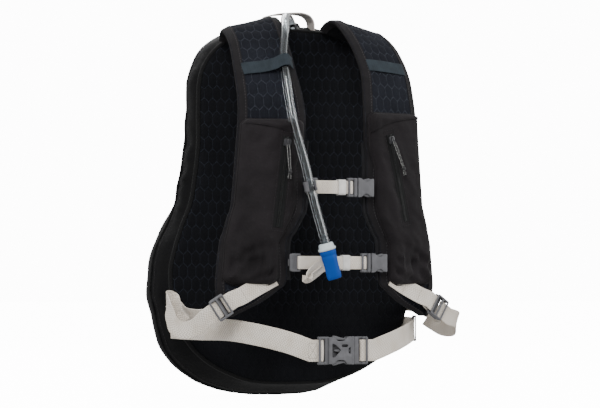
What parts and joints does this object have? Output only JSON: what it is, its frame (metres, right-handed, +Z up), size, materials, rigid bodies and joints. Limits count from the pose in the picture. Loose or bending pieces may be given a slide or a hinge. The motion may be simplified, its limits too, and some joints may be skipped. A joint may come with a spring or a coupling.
{
  "type": "hydration pack",
  "caption": "Narrow hydration backpack with curved pocketed shoulder straps, sternum and waist belts, water reservoir and bite-valve drink tube.",
  "frame": {"origin": "a point on the flat face of the back panel, on the pack's middle line, 205 mm above the panel's lower edge", "axes": "+Z up when worn, -Y out of the back panel toward the harness, +X toward the wearer's left"},
  "size_m": [0.3418, 0.3005, 0.4578],
  "materials": {
    "hex_fabric": "embossed honeycomb air-mesh fabric, navy black",
    "black_fabric": "plain woven nylon, black",
    "pocket_fabric": "stretch woven pocket cloth, warm charcoal",
    "elastic": "knitted elastic band, slate blue grey",
    "webbing": "twill-woven polyester webbing, off-white",
    "loop_webbing": "woven webbing, light grey beige",
    "white_elastic": "ribbed elastic, white",
    "grey_plastic": "moulded acetal, mid grey, faintly grained",
    "black_plastic": "moulded black plastic",
    "rail_cord": "piping over a round cord, black",
    "zipper": "zip tape with a nylon coil, black",
    "zip_metal": "die-cast zip slider, grey",
    "pull_cord": "braided cord, dark with light flecks",
    "clear_tube": "clear flexible tube",
    "collar": "translucent plastic",
    "valve_blue": "soft silicone, bright blue",
    "bladder": "welded clear film",
    "cap_blue": "moulded screw cap, blue"
  },
  "bodies": {
    "pack": {"back_panel": "hex_fabric", "bag_shell": "black_fabric", "hose_port": "black_plastic", "main_zipper": "zipper", "water_reservoir": "bladder", "reservoir_outlet": "black_plastic", "inner_tube": "clear_tube", "drink_tube_upper": "clear_tube", "waist_webbing_right": "webbing", "waist_webbing_left": "webbing", "waist_triglide": "grey_plastic", "waist_buckle_female": "grey_plastic", "right_shoulder_strap": "hex_fabric", "right_elastic_loop": "elastic", "right_sternum_rail": "rail_cord", "right_strap_pocket": "pocket_fabric", "right_pocket_zipper": "zipper", "right_strap_webbing": "webbing", "right_adjuster_webbing": "webbing", "left_shoulder_strap": "hex_fabric", "left_elastic_loop": "elastic", "left_sternum_rail": "rail_cord", "left_strap_pocket": "pocket_fabric", "left_pocket_zipper": "zipper", "left_strap_webbing": "webbing", "left_adjuster_webbing": "webbing"},
    "haul_loop": {"haul_loop": "loop_webbing"},
    "main_zip_slider": {"main_zip_slider": "zip_metal"},
    "main_zip_pull": {"main_zip_pull": "zip_metal"},
    "reservoir_cap": {"reservoir_cap": "cap_blue"},
    "right_zip_slider": {"right_zip_slider": "zip_metal"},
    "right_zip_cord": {"right_zip_cord": "pull_cord"},
    "right_ladder_lock": {"right_ladder_lock": "grey_plastic"},
    "left_zip_slider": {"left_zip_slider": "zip_metal"},
    "left_zip_cord": {"left_zip_cord": "pull_cord"},
    "left_ladder_lock": {"left_ladder_lock": "grey_plastic"},
    "upper_sternum": {"upper_sternum_glide": "grey_plastic", "upper_sternum_webbing": "webbing", "upper_sternum_buckle_female": "grey_plastic", "tube_clip": "grey_plastic", "drink_tube_lower": "clear_tube", "bite_valve_collar": "collar"},
    "upper_sternum_buckle_male": {"upper_sternum_buckle_male": "grey_plastic", "upper_sternum_keeper": "white_elastic"},
    "upper_sternum_latch_upper": {"upper_sternum_latch_upper": "grey_plastic"},
    "upper_sternum_latch_lower": {"upper_sternum_latch_lower": "grey_plastic"},
    "lower_sternum": {"lower_sternum_glide": "grey_plastic", "lower_sternum_webbing": "webbing", "lower_sternum_buckle_female": "grey_plastic"},
    "lower_sternum_buckle_male": {"lower_sternum_buckle_male": "grey_plastic", "lower_sternum_keeper": "white_elastic"},
    "lower_sternum_latch_upper": {"lower_sternum_latch_upper": "grey_plastic"},
    "lower_sternum_latch_lower": {"lower_sternum_latch_lower": "grey_plastic"},
    "waist_buckle_male": {"waist_buckle_male": "grey_plastic"},
    "waist_latch_upper": {"waist_latch_upper": "grey_plastic"},
    "waist_latch_lower": {"waist_latch_lower": "grey_plastic"},
    "bite_valve": {"bite_valve": "valve_blue"}
  },
  "joints": [
    {"name": "haul_loop_fold", "type": "hinge", "parent": "pack", "child": "haul_loop", "pos_m": [0, 0.03, 0.225], "axis": [-1, 0, 0], "range_deg": [0, 60], "stiffness_Nm_per_rad": 0.01},
    {"name": "main_zip_slide", "type": "slide", "parent": "pack", "child": "main_zip_slider", "axis": [0, 0, -1], "range_m": [0, 0.185]},
    {"name": "main_zip_pull_swing", "type": "hinge", "parent": "main_zip_slider", "child": "main_zip_pull", "pos_m": [0, 0.1565, 0.085], "axis": [1, 0, 0], "range_deg": [0, 165]},
    {"name": "reservoir_cap_turn", "type": "hinge", "parent": "pack", "child": "reservoir_cap", "pos_m": [0, 0.04, 0.13], "axis": [0, 0, 1], "continuous": true},
    {"name": "right_pocket_zip_slide", "type": "slide", "parent": "pack", "child": "right_zip_slider", "axis": [-0.1117, 0.0258, -0.9934], "range_m": [0, 0.0912]},
    {"name": "right_zip_cord_swing", "type": "hinge", "parent": "right_zip_slider", "child": "right_zip_cord", "pos_m": [-0.06581, -0.12388, 0.07006], "axis": [-0.9679, 0.2235, 0.1146], "range_deg": [0, 120]},
    {"name": "right_ladder_lock_tilt", "type": "hinge", "parent": "pack", "child": "right_ladder_lock", "pos_m": [-0.13221, -0.10203, -0.11214], "axis": [-0.5307, 0.1225, 0.8387], "range_deg": [0, 35], "deforming": ["right_adjuster_webbing"]},
    {"name": "left_pocket_zip_slide", "type": "slide", "parent": "pack", "child": "left_zip_slider", "axis": [0.2232, 0.0515, -0.9734], "range_m": [0, 0.0913]},
    {"name": "left_zip_cord_swing", "type": "hinge", "parent": "left_zip_slider", "child": "left_zip_cord", "pos_m": [0.07072, -0.12275, 0.07624], "axis": [-0.9485, -0.219, -0.229], "range_deg": [0, 120]},
    {"name": "left_ladder_lock_tilt", "type": "hinge", "parent": "pack", "child": "left_ladder_lock", "pos_m": [0.13221, -0.10203, -0.11214], "axis": [-0.5307, -0.1225, -0.8387], "range_deg": [0, 35], "deforming": ["left_adjuster_webbing"]},
    {"name": "upper_sternum_height", "type": "slide", "parent": "pack", "child": "upper_sternum", "axis": [0, 0, 1], "range_m": [-0.01, 0.014], "deforming": ["drink_tube_upper"]},
    {"name": "upper_sternum_buckle_release", "type": "slide", "parent": "upper_sternum", "child": "upper_sternum_buckle_male", "axis": [-1, 0, 0], "range_m": [0, 0.022], "deforming": ["upper_sternum_webbing"]},
    {"name": "upper_sternum_latch_upper_press", "type": "hinge", "parent": "upper_sternum_buckle_male", "child": "upper_sternum_latch_upper", "pos_m": [0.02355, -0.11886, 0.03], "axis": [0, 1, 0], "range_deg": [0, 17.5]},
    {"name": "upper_sternum_latch_lower_press", "type": "hinge", "parent": "upper_sternum_buckle_male", "child": "upper_sternum_latch_lower", "pos_m": [0.02355, -0.11886, 0.014], "axis": [0, -1, 0], "range_deg": [0, 17.5]},
    {"name": "lower_sternum_height", "type": "slide", "parent": "pack", "child": "lower_sternum", "axis": [0, 0, 1], "range_m": [-0.01, 0.01]},
    {"name": "lower_sternum_buckle_release", "type": "slide", "parent": "lower_sternum", "child": "lower_sternum_buckle_male", "axis": [-1, 0, 0], "range_m": [0, 0.022], "deforming": ["lower_sternum_webbing"]},
    {"name": "lower_sternum_latch_upper_press", "type": "hinge", "parent": "lower_sternum_buckle_male", "child": "lower_sternum_latch_upper", "pos_m": [0.04303, -0.11436, -0.057], "axis": [0, 1, 0], "range_deg": [0, 17.5]},
    {"name": "lower_sternum_latch_lower_press", "type": "hinge", "parent": "lower_sternum_buckle_male", "child": "lower_sternum_latch_lower", "pos_m": [0.04303, -0.11436, -0.073], "axis": [0, -1, 0], "range_deg": [0, 17.5]},
    {"name": "waist_buckle_release", "type": "slide", "parent": "pack", "child": "waist_buckle_male", "axis": [1, 0, 0], "range_m": [0, 0.03], "deforming": ["waist_webbing_left"]},
    {"name": "waist_latch_upper_press", "type": "hinge", "parent": "waist_buckle_male", "child": "waist_latch_upper", "pos_m": [0.0183, -0.122, -0.153], "axis": [0, -1, 0], "range_deg": [0, 17.5]},
    {"name": "waist_latch_lower_press", "type": "hinge", "parent": "waist_buckle_male", "child": "waist_latch_lower", "pos_m": [0.0183, -0.122, -0.179], "axis": [0, 1, 0], "range_deg": [0, 17.5]},
    {"name": "bite_valve_turn", "type": "hinge", "parent": "upper_sternum", "child": "bite_valve", "pos_m": [-0.0205, -0.133, -0.05], "axis": [0.2701, -0.03, -0.9624], "continuous": true}
  ],
  "couplings": [
    {"joint": "upper_sternum_latch_upper_press", "follows": "upper_sternum_buckle_release", "rad_per_m": 13.487},
    {"joint": "upper_sternum_latch_lower_press", "follows": "upper_sternum_buckle_release", "rad_per_m": 13.487},
    {"joint": "lower_sternum_latch_upper_press", "follows": "lower_sternum_buckle_release", "rad_per_m": 13.487},
    {"joint": "lower_sternum_latch_lower_press", "follows": "lower_sternum_buckle_release", "rad_per_m": 13.487},
    {"joint": "waist_latch_upper_press", "follows": "waist_buckle_release", "rad_per_m": 9.8902},
    {"joint": "waist_latch_lower_press", "follows": "waist_buckle_release", "rad_per_m": 9.8902}
  ]
}
